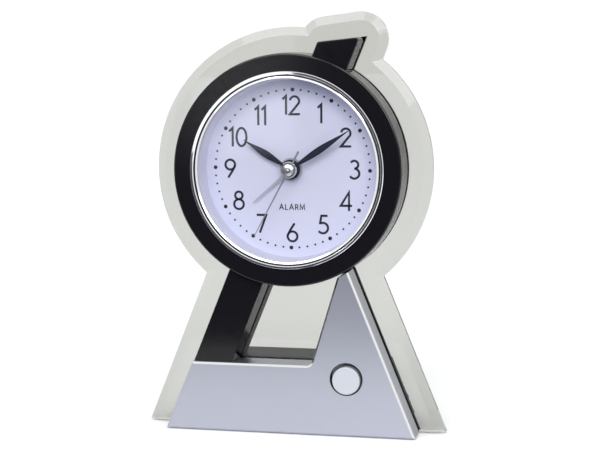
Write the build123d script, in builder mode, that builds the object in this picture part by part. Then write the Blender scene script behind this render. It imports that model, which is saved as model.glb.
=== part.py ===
from build123d import *
from math import atan2, cos, degrees, pi, radians, sin, sqrt
import os

os.makedirs("parts", exist_ok=True)

# Bedside alarm clock: a round head on a slanted bar and a triangular foot, with a clear bevelled
# plate round them. Millimetres. X runs to the right and Z up; the dial faces -Y.
# The origin is under the middle of the clock, on the surface that it stands on.

# ---------------------------------------------------------------- driving dimensions
# depths along Y, from the front of the chrome bezel to the back of the battery box
BEZEL_Y = -18.5
RING_Y = -17.85
BASE_Y = -17.45
BAR_Y = -15.05
DIAL_Y = -8.98
PLATE_Y = -8.45
PLATE_BACK_Y = -5.25
CORE_Y = -8.4
CORE_BACK_Y = -5.3
FLANGE_BACK_Y = -3.75
LEDGE_BACK_Y = 10.5
DRUM_BACK_Y = 9.5
BACK_Y = 18.5

DIAL_Z = 83.1           # height of the hands' axis
GROUND_GAP = 0.3        # how far the rubber feet lift the housings
WALL = 1.7

RING_RADIUS = 36.0      # black ring at its front edge, wider at its back
RING_BACK_RADIUS = 36.45
HEAD_BORE = 30.6        # bore of the black ring, which takes the bezel
TUBE_RADIUS = 31.6      # outside of that bore's tube
RING_INNER_RADIUS = 34.6
CORE_RADIUS = 35.6
FLANGE_RADIUS = 36.45
PLATE_RADIUS = 44.3

BASE_HALF = 40.23       # half the foot's width at the ground
BASE_SLOPE = 0.404      # how much each side comes in per millimetre of height
BASE_TOP = 22.18        # height of the foot's ledge under the window
LEG_X = 0.438           # inner edge of the foot's right-hand leg at the ground, and its slope
LEG_SLOPE = 0.307
APEX_Z = 56.0
LEG_TOP = 52.6
FOOT_FRAME_TOP = 21.1

BAR_SLOPE = 0.409       # the slanted bar's lean, as X per Z
BAR_HALF = 5.74         # half its width, measured square to it
BAR_ANGLE = degrees(atan2(BAR_SLOPE, 1))
BAR_DRAFT = 0.75        # how much wider the bar is at the clear plate than at its front

PLATE_HALF = 48.82      # half the clear plate's width at the ground
PLATE_SLOPE = 0.405
PLATE_BOTTOM = 0.7
PLATE_MARGIN = 8.5      # radius of the plate's bump round the snooze button
BEVEL_WIDTH = 2.7
BEVEL_DEPTH = 1.2
EDGE_CHAMFER = 0.6      # along the silver foot's front edges

SNOOZE_TRAVEL = 1.0
SNOOZE_LEFT = -6.45     # its sides and its sloping top at the back, across and along the bar
SNOOZE_RIGHT = 6.1
SNOOZE_MID = 43.67
SNOOZE_RISE = 0.525
SNOOZE_DRAFT = 0.45     # how much its front is smaller on each side
BUMP_CORNERS = ((-4.6, 40.1), (5.0, 45.45))    # centres of the bump's two arcs
LIGHT_TRAVEL = 1.2
LIGHT_X = 18.55
LIGHT_Z = 18.0
LIGHT_DROP = 0.42       # how low the button hangs in its round sleeve
SWITCH_TRAVEL = 5.0

# rear housing, battery and the battery door's hinge
REAR_GROW = 0.05        # how much wider the rear housing is than the foot and the bar
REAR_DRUM_RADIUS = 33.2
REAR_INSET = 4.8        # how much narrower the battery box is on each side
REAR_BAR_Y = 1.5        # back of the bar and the leg behind the clear plate
REAR_LEG_INSET = 1.6    # how much narrower that leg is than the foot's, on each side
CELL_Y = 9.4
CELL_Z = 9.6
CELL_RADIUS = 7.1
DOOR_PIVOT_Y = 17.7
DOOR_PIVOT_Z = 3.2

# movement: depths of the gear levels, front face of each, and the gears' module
CASE_RADIUS = 24.5
CASE_FRONT_Y = -8.2
CASE_BACK_Y = 6.8
CASE_WALL = 1.2
LEVEL_ALARM = -6.65
LEVEL_HOUR = -5.25
LEVEL_MINUTE = -3.85
LEVEL_CENTRE = -2.25
LEVEL_THIRD = -0.75
LEVEL_SECOND = 0.95
LEVEL_INTERMEDIATE = 2.35
GEAR_THICKNESS = 1.0
THIN_GEAR = 0.8
MODULE = 0.34
POST_RADIUS = 0.6
RUNNING_BORE = 0.67
STEM_RADIUS = 1.2

ROTOR_TEETH = 8
INTERMEDIATE_TEETH = 48
PINION_TEETH = 8
SECOND_TEETH = 40
THIRD_TEETH = 60
CENTRE_TEETH = 64
CANNON_TEETH = 12
MINUTE_TEETH = 36
MINUTE_PINION_TEETH = 10
HOUR_TEETH = 40
TIME_STEM_TEETH = 18
ALARM_TEETH = 36
ALARM_STEM_TEETH = 36

# the time shown, as angles clockwise from twelve
HOUR_ANGLE = 301.5
MINUTE_ANGLE = 57.0
SECOND_ANGLE = 208.5
ALARM_ANGLE = 229.3

# fasteners, as places round or below the hands' axis
RING_SCREW_ANGLES = (135, 315)
RING_SCREW_RADIUS = 33.1
FOOT_FRAME_SCREWS = ((-30.0, 13.0), (30.0, 13.0))
MOVEMENT_SCREW_ANGLES = (90, 210, 330)
MOVEMENT_SCREW_RADIUS = 26.2
DRUM_SCREW_ANGLES = (70, 190, 350)
DRUM_SCREW_RADIUS = 30.3
BOX_SCREWS = ((-31.0, 5.0), (31.0, 5.0))
BOX_SCREW_DEPTH = 10.0
FRONT_FEET = ((-33, -13), (33, -13))
REAR_FEET = ((-30, 13.5), (30, 13.5))
SWITCH_Z = 14.0
SNOOZE_BACK_Y = -8.75
SNOOZE_TAPER = degrees(atan2(SNOOZE_DRAFT, SNOOZE_BACK_Y - BAR_Y))

# directions between the movement's arbors, counter-clockwise from +X as seen in front
ALARM_STEM_DIRECTION = 215
MINUTE_DIRECTION = 270
TIME_STEM_DIRECTION = -20
THIRD_DIRECTION = 120
INTERMEDIATE_DIRECTION = 20
ROTOR_DIRECTION = 60


# ---------------------------------------------------------------- planes and helpers
def at_depth(y):
    """The upright plane at depth y, drawn in X and Z, facing the front."""
    return Plane.XZ.offset(-y)


def dial_plane(y, turn=0.0, x=0.0, z=0.0):
    """The plane at depth y centred x, z from the hands' axis, turned clockwise as seen in front."""
    across = (cos(radians(turn)), 0, -sin(radians(turn)))
    return Plane(origin=(x, y, DIAL_Z + z), x_dir=across, z_dir=(0, -1, 0))


def polar(distance, angle):
    """A place that far from the hands' axis, counter-clockwise from +X as seen in front."""
    return distance * cos(radians(angle)), distance * sin(radians(angle))


def frame_screw_places():
    """The screws that hold the core frame to the ring and to the foot."""
    ring = [polar(RING_SCREW_RADIUS, a) for a in RING_SCREW_ANGLES]
    return ring + [(x, z - DIAL_Z) for x, z in FOOT_FRAME_SCREWS]


def drum_screw_places():
    """The screws through the back of the drum."""
    return [polar(DRUM_SCREW_RADIUS, a) for a in DRUM_SCREW_ANGLES]


def box_screw_places():
    """The screws through the battery box."""
    return [(x, z - DIAL_Z) for x, z in BOX_SCREWS]


def layer(plane, thickness, draw, mode=Mode.ADD, taper=0.0):
    """Extrudes what draw() draws on the plane, forwards by the thickness, into the open part."""
    with BuildSketch(plane) as outline:
        draw()
    extrude(outline.sketch, amount=thickness, taper=taper, mode=mode)


def disc(y_front, y_back, radius, bore=0.0, at=(0.0, 0.0), mode=Mode.ADD):
    """Adds a round layer with an optional bore, square to the hands' axis."""
    def draw():
        Circle(radius)
        if bore:
            Circle(bore, mode=Mode.SUBTRACT)
    layer(dial_plane(y_back, x=at[0], z=at[1]), y_back - y_front, draw, mode=mode)


def revolved(points):
    """Adds the ring that a closed section, given as (depth, radius) points, makes round the axis."""
    with BuildSketch(Plane.YZ) as section:
        Polygon(*[(y, DIAL_Z + r) for y, r in points], align=None)
    revolve(section.sketch, axis=Axis((0, 0, DIAL_Z), (0, 1, 0)))


def finish(part, name):
    part.part.label = name
    export_step(part.part, f"parts/{name}.step")


# ---------------------------------------------------------------- where the arbors stand
def beside(at, teeth, mate_teeth, direction):
    """The place of an arbor whose wheel meshes with the wheel at another arbor."""
    x, z = polar(MODULE * (teeth + mate_teeth) / 2, direction)
    return at[0] + x, at[1] + z


ALARM_STEM_AT = beside((0, 0), ALARM_TEETH, ALARM_STEM_TEETH, ALARM_STEM_DIRECTION)
MINUTE_AT = beside((0, 0), CANNON_TEETH, MINUTE_TEETH, MINUTE_DIRECTION)
TIME_STEM_AT = beside(MINUTE_AT, MINUTE_TEETH, TIME_STEM_TEETH, TIME_STEM_DIRECTION)
THIRD_AT = beside((0, 0), PINION_TEETH, THIRD_TEETH, THIRD_DIRECTION)
INTERMEDIATE_AT = beside((0, 0), SECOND_TEETH, PINION_TEETH, INTERMEDIATE_DIRECTION)
ROTOR_AT = beside(INTERMEDIATE_AT, INTERMEDIATE_TEETH, ROTOR_TEETH, ROTOR_DIRECTION)
# the two wheel pairs that share these centre distances have their own modules
CENTRE_MODULE = MODULE * (PINION_TEETH + THIRD_TEETH) / (PINION_TEETH + CENTRE_TEETH)
HOUR_MODULE = MODULE * (CANNON_TEETH + MINUTE_TEETH) / (MINUTE_PINION_TEETH + HOUR_TEETH)
# each screw through the back: its place, the face it enters and its head's underside
REAR_SCREWS = [(spot, DRUM_BACK_Y, DRUM_BACK_Y - 2.2) for spot in drum_screw_places()]
REAR_SCREWS += [(spot, BACK_Y, BACK_Y - BOX_SCREW_DEPTH) for spot in box_screw_places()]


# ---------------------------------------------------------------- outlines
def bar_x(z, side, grow=0.0):
    """X of the slanted bar's left (-1) or right (+1) edge at height z."""
    centre = (z - DIAL_Z) * BAR_SLOPE
    return centre + side * (BAR_HALF + grow) * sqrt(1 + BAR_SLOPE**2)


def leg_x(z, grow=0.0):
    """X of the inner edge of the foot's right-hand leg."""
    return LEG_X + LEG_SLOPE * z - grow * sqrt(1 + LEG_SLOPE**2)


def side_x(z, grow=0.0):
    """Half the foot's width at height z."""
    return BASE_HALF - BASE_SLOPE * z + grow * sqrt(1 + BASE_SLOPE**2)


def draw_bar(grow=0.0, low=BASE_TOP + 0.12, high=60.0):
    """The lower stretch of the slanted bar."""
    Polygon(
        (bar_x(low, -1, grow), low),
        (bar_x(low, 1, grow), low),
        (bar_x(high, 1, grow), high),
        (bar_x(high, -1, grow), high),
        align=None,
    )


def draw_foot(grow=0.0, bottom=GROUND_GAP):
    """The foot: a low block with one leg that runs up under the ring."""
    top = BASE_TOP + grow
    Polygon(
        (-side_x(bottom, grow), bottom),
        (side_x(bottom, grow), bottom),
        (side_x(APEX_Z, grow), APEX_Z),
        (min(leg_x(APEX_Z, grow), side_x(APEX_Z, grow) - 0.01), APEX_Z),
        (leg_x(top, grow), top),
        (-side_x(top, grow), top),
        align=None,
    )


def draw_snooze(grow=0.0, low=34.0):
    """The snooze button at its back, in the bar's own frame: across the bar and along it."""
    left = SNOOZE_LEFT - grow
    right = SNOOZE_RIGHT + grow
    lift = SNOOZE_MID + grow * sqrt(1 + SNOOZE_RISE**2)
    Polygon(
        (left, low),
        (right, low),
        (right, lift + SNOOZE_RISE * right),
        (left, lift + SNOOZE_RISE * left),
        align=None,
    )


# ---------------------------------------------------------------- black ring and strut
with BuildPart() as front_housing:
    revolved([
        (RING_Y, HEAD_BORE),
        (RING_Y, RING_RADIUS - 0.5),
        (RING_Y + 0.15, RING_RADIUS - 0.15),
        (RING_Y + 0.5, RING_RADIUS),
        (PLATE_Y, RING_BACK_RADIUS),
        (PLATE_Y, RING_INNER_RADIUS),
        (RING_Y + 2.2, RING_INNER_RADIUS),
        (RING_Y + 2.2, TUBE_RADIUS),
        (DIAL_Y - 0.1, TUBE_RADIUS),
        (DIAL_Y - 0.1, HEAD_BORE),
    ])

    def draw_strut():
        draw_bar(grow=BAR_DRAFT, low=BASE_TOP - 3)
        with Locations((0, DIAL_Z)):
            Circle(RING_INNER_RADIUS, mode=Mode.SUBTRACT)

    def draw_strut_hollow():
        draw_bar(grow=-WALL, low=BASE_TOP + 2, high=58)
        with Locations((0, DIAL_Z)):
            Circle(RING_INNER_RADIUS - 0.6, mode=Mode.SUBTRACT)

    strut_depth = PLATE_Y - BAR_Y
    with BuildSketch(at_depth(PLATE_Y)) as strut:
        draw_strut()
    extrude(strut.sketch, amount=strut_depth, taper=degrees(atan2(BAR_DRAFT, strut_depth)))
    with Locations((0, PLATE_Y - 5, BASE_TOP + 0.12 - 10)):
        Box(120, 20, 20, mode=Mode.SUBTRACT)
    layer(at_depth(PLATE_Y), strut_depth - WALL, draw_strut_hollow, mode=Mode.SUBTRACT)
    # slot in the ring's wall that the snooze button slides through
    with BuildSketch(dial_plane(SNOOZE_BACK_Y, BAR_ANGLE)) as slot:
        draw_snooze(grow=0.25, low=20)
    with BuildPart(mode=Mode.PRIVATE) as slot_cutter:
        extrude(slot.sketch, amount=SNOOZE_BACK_Y - BAR_Y + 0.35, taper=SNOOZE_TAPER)
        extrude(slot.sketch, amount=SNOOZE_BACK_Y - PLATE_Y - 0.1)
        disc(RING_Y, PLATE_Y + 0.5, TUBE_RADIUS + 0.9, mode=Mode.SUBTRACT)
    add(slot_cutter.part, mode=Mode.SUBTRACT)
    # two bosses for the screws that hold the core frame
    for angle in RING_SCREW_ANGLES:
        disc(RING_Y + 2.0, CORE_Y - 0.1, 1.55, 0.8, at=polar(RING_SCREW_RADIUS, angle))
finish(front_housing, "front_housing")

# ---------------------------------------------------------------- silver foot
with BuildPart() as base_cover:
    def draw_cover_hollow():
        draw_foot(grow=-WALL, bottom=GROUND_GAP + WALL)
        with Locations((0, DIAL_Z)):
            Circle(RING_BACK_RADIUS + 0.15 + WALL, mode=Mode.SUBTRACT)

    with BuildSketch(at_depth(PLATE_Y)) as cover_face:
        draw_foot()
        with Locations((0, LEG_TOP + 10)):
            Rectangle(80, 20, mode=Mode.SUBTRACT)
        window_corner = cover_face.vertices().sort_by_distance((leg_x(BASE_TOP), BASE_TOP, 0))[0]
        fillet(window_corner, 2.0)
    extrude(amount=PLATE_Y - BASE_Y)
    front_edges = base_cover.faces().sort_by(Axis.Y)[0].outer_wire().edges()
    chamfer(front_edges, EDGE_CHAMFER)
    disc(BASE_Y - 1, PLATE_Y + 1, RING_BACK_RADIUS + 0.15, mode=Mode.SUBTRACT)
    with BuildSketch(at_depth(PLATE_Y)) as cover_hollow:
        draw_cover_hollow()
    extrude(amount=PLATE_Y - BASE_Y - WALL, mode=Mode.SUBTRACT)
    # sleeve that guides the light button, and the bosses for two screws
    sleeve_at = (LIGHT_X, LIGHT_Z + LIGHT_DROP - DIAL_Z)
    disc(BASE_Y + 0.5, BASE_Y + 4.0, 6.45, at=sleeve_at)
    disc(BASE_Y - 1, BASE_Y + 4.1, 5.2, at=sleeve_at, mode=Mode.SUBTRACT)
    for x, z in FOOT_FRAME_SCREWS:
        disc(BASE_Y + 1, CORE_Y - 0.1, 2.2, 0.8, at=(x, z - DIAL_Z))
    # two recesses under the foot for rubber pads
    with BuildSketch(Plane.XY) as pad_recess:
        with Locations(*FRONT_FEET):
            Circle(2.6)
    extrude(amount=GROUND_GAP + 1.0, mode=Mode.SUBTRACT)
finish(base_cover, "base_cover")

# ---------------------------------------------------------------- frames let into the clear plate
with BuildPart() as head_frame:
    disc(CORE_Y, CORE_BACK_Y, CORE_RADIUS, CASE_RADIUS + 0.2)
    for angle in RING_SCREW_ANGLES:
        spot = polar(RING_SCREW_RADIUS, angle)
        disc(CORE_Y - 1, CORE_BACK_Y + 1, 0.85, at=spot, mode=Mode.SUBTRACT)
        disc(CORE_BACK_Y - 1.2, CORE_BACK_Y + 1, 1.7, at=spot, mode=Mode.SUBTRACT)
    for angle in MOVEMENT_SCREW_ANGLES:
        spot = polar(MOVEMENT_SCREW_RADIUS, angle)
        disc(CORE_BACK_Y - 2.6, CORE_BACK_Y + 1, 0.75, at=spot, mode=Mode.SUBTRACT)
    for spot in drum_screw_places():
        disc(CORE_BACK_Y - 2.8, CORE_BACK_Y + 1, 1.1, at=spot, mode=Mode.SUBTRACT)
finish(head_frame, "head_frame")

with BuildPart() as foot_frame:
    def draw_foot_frame(grow=-0.85, low=GROUND_GAP, high=FOOT_FRAME_TOP):
        Polygon(
            (-side_x(low, grow), low),
            (side_x(low, grow), low),
            (side_x(high, grow), high),
            (-side_x(high, grow), high),
            align=None,
        )

    def draw_wire_way():
        with Locations((2, 10)):
            Rectangle(14, 9)

    layer(at_depth(CORE_BACK_Y), CORE_BACK_Y - CORE_Y, draw_foot_frame)
    layer(at_depth(CORE_BACK_Y + 1), CORE_BACK_Y - CORE_Y + 2, draw_wire_way, mode=Mode.SUBTRACT)
    for x, z in FOOT_FRAME_SCREWS:
        spot = (x, z - DIAL_Z)
        disc(CORE_Y - 1, CORE_BACK_Y + 1, 0.85, at=spot, mode=Mode.SUBTRACT)
        disc(CORE_BACK_Y - 1.2, CORE_BACK_Y + 1, 1.7, at=spot, mode=Mode.SUBTRACT)
    for spot in box_screw_places():
        disc(CORE_BACK_Y - 2.8, CORE_BACK_Y + 1, 1.1, at=spot, mode=Mode.SUBTRACT)
finish(foot_frame, "foot_frame")

# ---------------------------------------------------------------- clear bevelled plate
def draw_plate():
    """The plate's outline, with straight legs and a rounded bump round the snooze button."""
    with Locations((0, DIAL_Z)):
        Circle(PLATE_RADIUS)
    low = -6.0
    high = 70.0
    Polygon(
        (-PLATE_HALF + PLATE_SLOPE * low, low),
        (PLATE_HALF - PLATE_SLOPE * low, low),
        (PLATE_HALF - PLATE_SLOPE * high, high),
        (-PLATE_HALF + PLATE_SLOPE * high, high),
        align=None,
    )


def draw_bump():
    """The bump, in the bar's own frame."""
    (left, left_top), (right, right_top) = BUMP_CORNERS
    with BuildSketch(mode=Mode.PRIVATE) as core:
        Polygon((left, 30), (right, 30), (right, right_top), (left, left_top), align=None)
    grown = offset(core.sketch, amount=PLATE_MARGIN, mode=Mode.PRIVATE)
    add(grown)


with BuildPart() as back_plate:
    thickness = PLATE_BACK_Y - PLATE_Y
    edge = thickness - BEVEL_DEPTH
    bevel_taper = degrees(atan2(BEVEL_WIDTH, BEVEL_DEPTH))
    with BuildSketch(at_depth(PLATE_BACK_Y)) as plate_sheet:
        draw_plate()
    extrude(amount=edge)
    with BuildSketch(dial_plane(PLATE_BACK_Y, BAR_ANGLE)) as bump_sheet:
        draw_bump()
    extrude(amount=edge)
    with BuildSketch(at_depth(PLATE_BACK_Y - edge)) as plate_bevel:
        draw_plate()
    extrude(amount=BEVEL_DEPTH, taper=bevel_taper)
    with BuildSketch(dial_plane(PLATE_BACK_Y - edge, BAR_ANGLE)) as bump_bevel:
        draw_bump()
    extrude(amount=BEVEL_DEPTH, taper=bevel_taper)

    # a round opening for the head's frame and a notch for the foot's
    def draw_cut_out():
        with Locations((0, DIAL_Z)):
            Circle(CORE_RADIUS + 0.1)
        draw_foot_frame(grow=-0.75, low=-8.0, high=FOOT_FRAME_TOP + 0.1)

    with BuildSketch(at_depth(PLATE_BACK_Y)) as cut_out:
        draw_cut_out()
    extrude(amount=thickness, mode=Mode.SUBTRACT)
    # the legs' feet are sawn flat, with no bevel
    with Locations((0, PLATE_BACK_Y, PLATE_BOTTOM - 10)):
        Box(200, 20, 20, mode=Mode.SUBTRACT)
finish(back_plate, "back_plate")

# ---------------------------------------------------------------- rear housing
with BuildPart() as rear_housing:
    # thin flange behind the clear plate, as wide as the front shells and a little more
    def draw_flange():
        with Locations((0, DIAL_Z)):
            Circle(FLANGE_RADIUS)
        draw_bar(REAR_GROW + BAR_DRAFT, low=BASE_TOP - 2)
        draw_foot(REAR_GROW)

    layer(at_depth(FLANGE_BACK_Y), FLANGE_BACK_Y - PLATE_BACK_Y, draw_flange)
    with BuildSketch(dial_plane(FLANGE_BACK_Y, BAR_ANGLE)) as snooze_tab:
        draw_snooze(grow=0.0, low=30)
    extrude(amount=FLANGE_BACK_Y - PLATE_BACK_Y)

    # bar and leg, then the battery box with its sloping top, then the drum
    def draw_legs():
        draw_bar(REAR_GROW + BAR_DRAFT, low=BASE_TOP - 2)
        draw_foot(-REAR_LEG_INSET)
        Rectangle(200, 2 * BASE_TOP, mode=Mode.SUBTRACT)

    layer(at_depth(REAR_BAR_Y), REAR_BAR_Y - PLATE_BACK_Y, draw_legs)

    box_half = BASE_HALF - REAR_INSET

    def draw_box():
        top = BASE_TOP + REAR_GROW
        Polygon(
            (-box_half + BASE_SLOPE * GROUND_GAP, GROUND_GAP),
            (box_half - BASE_SLOPE * GROUND_GAP, GROUND_GAP),
            (box_half - BASE_SLOPE * top, top),
            (-box_half + BASE_SLOPE * top, top),
            align=None,
        )

    layer(at_depth(BACK_Y), BACK_Y - PLATE_BACK_Y, draw_box)
    with BuildSketch(Plane.YZ.offset(-50)) as slope:
        Polygon(
            (LEDGE_BACK_Y, BASE_TOP + REAR_GROW),
            (BACK_Y + 1, 18.0),
            (BACK_Y + 1, 30.0),
            (LEDGE_BACK_Y, 30.0),
            align=None,
        )
    extrude(amount=100, mode=Mode.SUBTRACT)
    chamfer(rear_housing.faces().sort_by(Axis.Y)[-1].outer_wire().edges(), 0.7)
    revolved([
        (PLATE_BACK_Y, 0),
        (PLATE_BACK_Y, REAR_DRUM_RADIUS),
        (DRUM_BACK_Y - 1.0, REAR_DRUM_RADIUS),
        (DRUM_BACK_Y - 0.3, REAR_DRUM_RADIUS - 0.3),
        (DRUM_BACK_Y, REAR_DRUM_RADIUS - 1.0),
        (DRUM_BACK_Y, 0),
    ])
    # hollow drum
    disc(PLATE_BACK_Y - 0.1, DRUM_BACK_Y - WALL, REAR_DRUM_RADIUS - WALL, mode=Mode.SUBTRACT)

    # hollow battery box with a passage up the bar
    def draw_box_hollow():
        low = GROUND_GAP + WALL
        top = 17.6
        Polygon(
            (-box_half + BASE_SLOPE * low + WALL, low),
            (box_half - BASE_SLOPE * low - WALL, low),
            (box_half - BASE_SLOPE * top - WALL, top),
            (-box_half + BASE_SLOPE * top + WALL, top),
            align=None,
        )

    layer(at_depth(BACK_Y - WALL), BACK_Y - WALL - PLATE_BACK_Y + 0.1, draw_box_hollow, Mode.SUBTRACT)

    def draw_legs_hollow():
        draw_bar(grow=BAR_DRAFT - WALL, low=BASE_TOP, high=54)
        draw_foot(grow=-REAR_LEG_INSET - WALL)
        Rectangle(200, 2 * (BASE_TOP + REAR_GROW), mode=Mode.SUBTRACT)
        # passage for the wires, down into the battery box
        with Locations((-22, 19.5)):
            Rectangle(4, 9)

    legs_back = REAR_BAR_Y - WALL
    layer(at_depth(legs_back), legs_back - PLATE_BACK_Y + 0.1, draw_legs_hollow, Mode.SUBTRACT)
    # opening for the battery door, and round sockets for its hinge pips
    with Locations((0, BACK_Y, (2.2 + 17.0) / 2)):
        Box(54.4, 2 * WALL + 1, 14.8, mode=Mode.SUBTRACT)
    with BuildSketch(Plane.YZ.offset(-28.3)) as sockets:
        with Locations((DOOR_PIVOT_Y, DOOR_PIVOT_Z)):
            Circle(0.65)
    extrude(amount=56.6, mode=Mode.SUBTRACT)
    # ribs at the ends of the battery, screw posts and counterbores
    for side in (-1, 1):
        with Locations((side * 28.9, 6.9, 8.0)):
            Box(1.2, 19.8, 12.5)
    for spot, back, head in REAR_SCREWS:
        disc(PLATE_BACK_Y, back, 2.3, at=spot)
        disc(PLATE_BACK_Y - 1, back + 1, 1.25, at=spot, mode=Mode.SUBTRACT)
        disc(head, back + 1, 2.1, at=spot, mode=Mode.SUBTRACT)
    # holes for the two stems and the slot for the alarm switch
    for spot in (ALARM_STEM_AT, TIME_STEM_AT):
        disc(DRUM_BACK_Y - 3, DRUM_BACK_Y + 1, STEM_RADIUS + 0.3, at=spot, mode=Mode.SUBTRACT)
    with BuildSketch(dial_plane(DRUM_BACK_Y + 1, z=SWITCH_Z)) as switch_slot:
        Rectangle(SWITCH_TRAVEL + 3.0, 3.0)
    extrude(amount=4, mode=Mode.SUBTRACT)
    with BuildSketch(Plane.XY) as rear_pads:
        with Locations(*REAR_FEET):
            Circle(2.6)
    extrude(amount=GROUND_GAP + 1.0, mode=Mode.SUBTRACT)
finish(rear_housing, "rear_housing")

# ---------------------------------------------------------------- bezel, lens and dial
with BuildPart() as chrome_bezel:
    revolved([
        (-16.0, 30.5),
        (-18.3, 30.5),
        (BEZEL_Y, 30.3),
        (BEZEL_Y, 29.75),
        (-18.25, 29.5),
        (-17.75, 29.4),
        (-17.75, 29.05),
        (-18.1, 29.0),
        (-18.2, 28.8),
        (-18.0, 28.4),
        (-17.2, 28.4),
        (-17.2, 29.0),
        (-16.0, 29.0),
    ])
finish(chrome_bezel, "chrome_bezel")

with BuildPart() as lens:
    disc(-17.15, -15.95, 28.95)
finish(lens, "lens")

with BuildPart() as dial_ring:
    revolved([
        (-15.9, 28.3),
        (-15.9, 30.5),
        (-15.2, 30.5),
        (-15.2, 29.3),
        (DIAL_Y - 0.02, 29.3),
        (DIAL_Y - 0.02, 27.9),
    ])
    # window for the dial's lamp
    with Locations((0, -12.0, DIAL_Z - 28.8)):
        Cylinder(0.6, 2.6, mode=Mode.SUBTRACT)
finish(dial_ring, "dial_ring")

with BuildPart() as dial:
    disc(DIAL_Y, CORE_Y - 0.08, 29.3, 3.2)
finish(dial, "dial")

with BuildPart() as dial_lamp:
    with Locations((0, -12.0, DIAL_Z - 29.95)):
        Box(2.0, 1.6, 1.0)
finish(dial_lamp, "dial_lamp")


# ---------------------------------------------------------------- gears
def gear(y_front, thickness, teeth, module, phase, at, bore):
    """Adds a toothed wheel with one tooth at the angle phase, counter-clockwise from +X."""
    pitch = 2 * pi / teeth
    pitch_radius = module * teeth / 2
    rim = [
        (pitch_radius - 0.95 * module, -0.20),
        (pitch_radius, -0.18),
        (pitch_radius + 0.7 * module, -0.07),
        (pitch_radius + 0.7 * module, 0.07),
        (pitch_radius, 0.18),
        (pitch_radius - 0.95 * module, 0.20),
    ]
    outline = []
    for tooth in range(teeth):
        for radius, share in rim:
            angle = radians(phase) + (tooth + share) * pitch
            outline.append((radius * cos(angle), radius * sin(angle)))

    def draw():
        Polygon(*outline, align=None)
        if bore:
            Circle(bore, mode=Mode.SUBTRACT)
    layer(dial_plane(y_front + thickness, x=at[0], z=at[1]), thickness, draw)


def mesh_phase(phase, teeth, direction, mate_teeth):
    """Where the mate's tooth must lie so that it meshes with a wheel that lies the other way."""
    share = (direction - phase) / (360 / teeth)
    return direction + 180 + (360 / mate_teeth) * (share + 0.5)


with BuildPart() as second_arbor:
    disc(-13.5, 1.9, 0.8)
    gear(LEVEL_SECOND, THIN_GEAR, SECOND_TEETH, MODULE, 0, (0, 0), 0)
    gear(-1.0, 1.4, PINION_TEETH, MODULE, 0, (0, 0), 0)
finish(second_arbor, "second_arbor")

third_phase = mesh_phase(0, PINION_TEETH, THIRD_DIRECTION, THIRD_TEETH)
with BuildPart() as third_wheel:
    gear(LEVEL_THIRD, GEAR_THICKNESS, THIRD_TEETH, MODULE, third_phase, THIRD_AT, RUNNING_BORE)
    gear(-2.4, 1.7, PINION_TEETH, CENTRE_MODULE, 0, THIRD_AT, RUNNING_BORE)
finish(third_wheel, "third_wheel")

centre_phase = mesh_phase(0, PINION_TEETH, THIRD_DIRECTION + 180, CENTRE_TEETH)
with BuildPart() as centre_arbor:
    disc(-12.5, -1.25, 1.7, 0.9)
    gear(LEVEL_CENTRE, GEAR_THICKNESS, CENTRE_TEETH, CENTRE_MODULE, centre_phase, (0, 0), 0.9)
    gear(LEVEL_MINUTE - 0.1, 1.7, CANNON_TEETH, MODULE, 0, (0, 0), 0.9)
finish(centre_arbor, "centre_arbor")

minute_phase = mesh_phase(0, CANNON_TEETH, MINUTE_DIRECTION, MINUTE_TEETH)
with BuildPart() as minute_wheel:
    gear(LEVEL_MINUTE, GEAR_THICKNESS, MINUTE_TEETH, MODULE, minute_phase, MINUTE_AT, RUNNING_BORE)
    gear(LEVEL_HOUR - 0.1, 1.6, MINUTE_PINION_TEETH, HOUR_MODULE, 0, MINUTE_AT, RUNNING_BORE)
finish(minute_wheel, "minute_wheel")

hour_phase = mesh_phase(0, MINUTE_PINION_TEETH, MINUTE_DIRECTION + 180, HOUR_TEETH)
with BuildPart() as hour_wheel:
    disc(-11.4, -4.25, 2.3, 1.8)
    gear(LEVEL_HOUR, GEAR_THICKNESS, HOUR_TEETH, HOUR_MODULE, hour_phase, (0, 0), 1.8)
finish(hour_wheel, "hour_wheel")

with BuildPart() as alarm_wheel:
    disc(-10.3, -5.65, 2.9, 2.4)
    gear(LEVEL_ALARM, GEAR_THICKNESS, ALARM_TEETH, MODULE, 0, (0, 0), 2.4)
finish(alarm_wheel, "alarm_wheel")

intermediate_phase = mesh_phase(0, SECOND_TEETH, INTERMEDIATE_DIRECTION, PINION_TEETH)
with BuildPart() as intermediate_wheel:
    gear(
        LEVEL_INTERMEDIATE, THIN_GEAR, INTERMEDIATE_TEETH, MODULE, 0, INTERMEDIATE_AT, RUNNING_BORE
    )
    gear(
        LEVEL_SECOND - 0.05, 1.5, PINION_TEETH, MODULE, intermediate_phase, INTERMEDIATE_AT,
        RUNNING_BORE,
    )
finish(intermediate_wheel, "intermediate_wheel")

rotor_phase = mesh_phase(0, INTERMEDIATE_TEETH, ROTOR_DIRECTION, ROTOR_TEETH)
with BuildPart() as rotor:
    gear(LEVEL_INTERMEDIATE - 0.05, 1.1, ROTOR_TEETH, MODULE, rotor_phase, ROTOR_AT, 0.48)
    disc(3.35, 4.45, 2.0, 0.48, at=ROTOR_AT)
finish(rotor, "rotor")

alarm_stem_phase = mesh_phase(0, ALARM_TEETH, ALARM_STEM_DIRECTION, ALARM_STEM_TEETH)
with BuildPart() as alarm_stem:
    gear(
        LEVEL_ALARM, GEAR_THICKNESS, ALARM_STEM_TEETH, MODULE, alarm_stem_phase, ALARM_STEM_AT, 0
    )
    disc(-6.85, 12.0, STEM_RADIUS, at=ALARM_STEM_AT)
    disc(-7.7, -6.85, POST_RADIUS, at=ALARM_STEM_AT)
finish(alarm_stem, "alarm_stem")

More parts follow.
